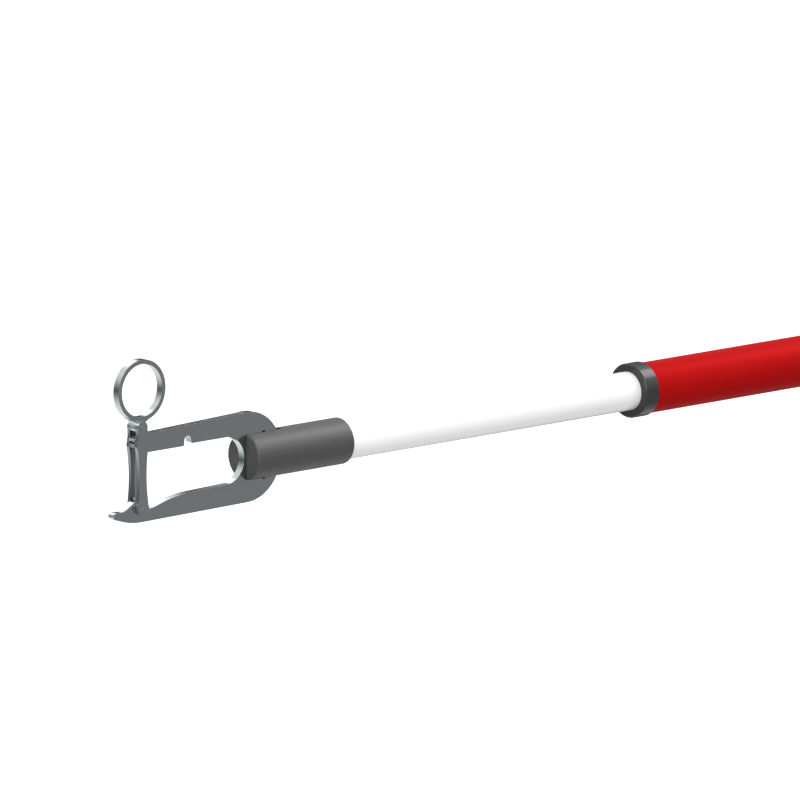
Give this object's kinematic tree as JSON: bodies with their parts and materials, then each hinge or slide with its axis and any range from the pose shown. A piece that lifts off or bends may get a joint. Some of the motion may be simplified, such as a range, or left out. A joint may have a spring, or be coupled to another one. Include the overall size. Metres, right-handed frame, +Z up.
{
  "type": "telescopic hook reacher",
  "caption": "Telescopic reaching pole with a red outer tube, a white inner tube and a dark slotted socket that holds a steel snap hook with a sprung gate and a ring eye.",
  "frame": {"origin": "centre of the butt cap's flat end face, on the pole's axis", "axes": "+X along the pole towards the butt, so the hook points along -X; +Z up, from the pole's axis towards the hook's eye; +Y across the plate"},
  "size_m": [1.2385, 0.0416, 0.1203],
  "materials": {
    "hook_steel": "satin polished stainless",
    "pin_steel": "ground stainless",
    "spring_steel": "rolled spring steel",
    "socket_rubber": "matt moulded rubber, fine grain",
    "magnet_nickel": "nickel plated",
    "inner_tube_white": "gloss white powder coat on aluminium",
    "outer_tube_red": "satin red anodised aluminium",
    "collar_plastic": "glossy moulded plastic",
    "lock_nylon": "natural nylon",
    "lock_spindle_steel": "zinc plated",
    "seal_rubber": "matt"
  },
  "bodies": {
    "outer_pole": {"outer_tube": "outer_tube_red", "front_collar": "collar_plastic", "collar_wiper": "seal_rubber", "butt_cap": "collar_plastic", "butt_seal_ring": "seal_rubber"},
    "lock_sleeve": {"split_collet": "lock_nylon", "collet_drag_ring": "seal_rubber"},
    "expander": {"expander_cone": "lock_nylon"},
    "inner_pole": {"inner_tube": "inner_tube_white", "inner_tube_plug": "lock_nylon", "hook_socket": "socket_rubber", "retaining_magnet": "magnet_nickel", "guide_bush": "lock_nylon", "lock_plug": "lock_nylon", "lock_plug_pin": "pin_steel", "lock_spindle": "lock_spindle_steel", "spindle_washer": "spring_steel", "spindle_clip": "spring_steel"},
    "hook": {"hook_plate": "hook_steel"},
    "gate": {"gate_frame": "hook_steel", "gate_hinge_pin": "pin_steel", "gate_catch_pin": "pin_steel", "gate_leaf_spring": "spring_steel", "leaf_spring_rivet": "pin_steel"}
  },
  "joints": [
    {"name": "telescope_slide", "type": "slide", "parent": "outer_pole", "child": "lock_sleeve", "axis": [-1, 0, 0], "range_m": [-0.29, 0.149]},
    {"name": "twist_lock", "type": "hinge", "parent": "lock_sleeve", "child": "inner_pole", "pos_m": [-0.451, 0, 0], "axis": [1, 0, 0], "range_deg": [0, 180]},
    {"name": "expander_travel", "type": "slide", "parent": "lock_sleeve", "child": "expander", "axis": [1, 0, 0], "range_m": [0, 0.0016]},
    {"name": "hook_release", "type": "slide", "parent": "inner_pole", "child": "hook", "axis": [-1, 0, 0], "range_m": [0, 0.045]},
    {"name": "gate_hinge", "type": "hinge", "parent": "hook", "child": "gate", "pos_m": [-1.2125, 0, 0.036], "axis": [0, -1, 0], "range_deg": [0, 20], "stiffness_Nm_per_rad": 0.12, "springref_deg": -45.84, "deforming": ["gate_leaf_spring"]}
  ],
  "couplings": [
    {"joint": "expander_travel", "follows": "twist_lock", "m_per_rad": 0.00047746}
  ]
}
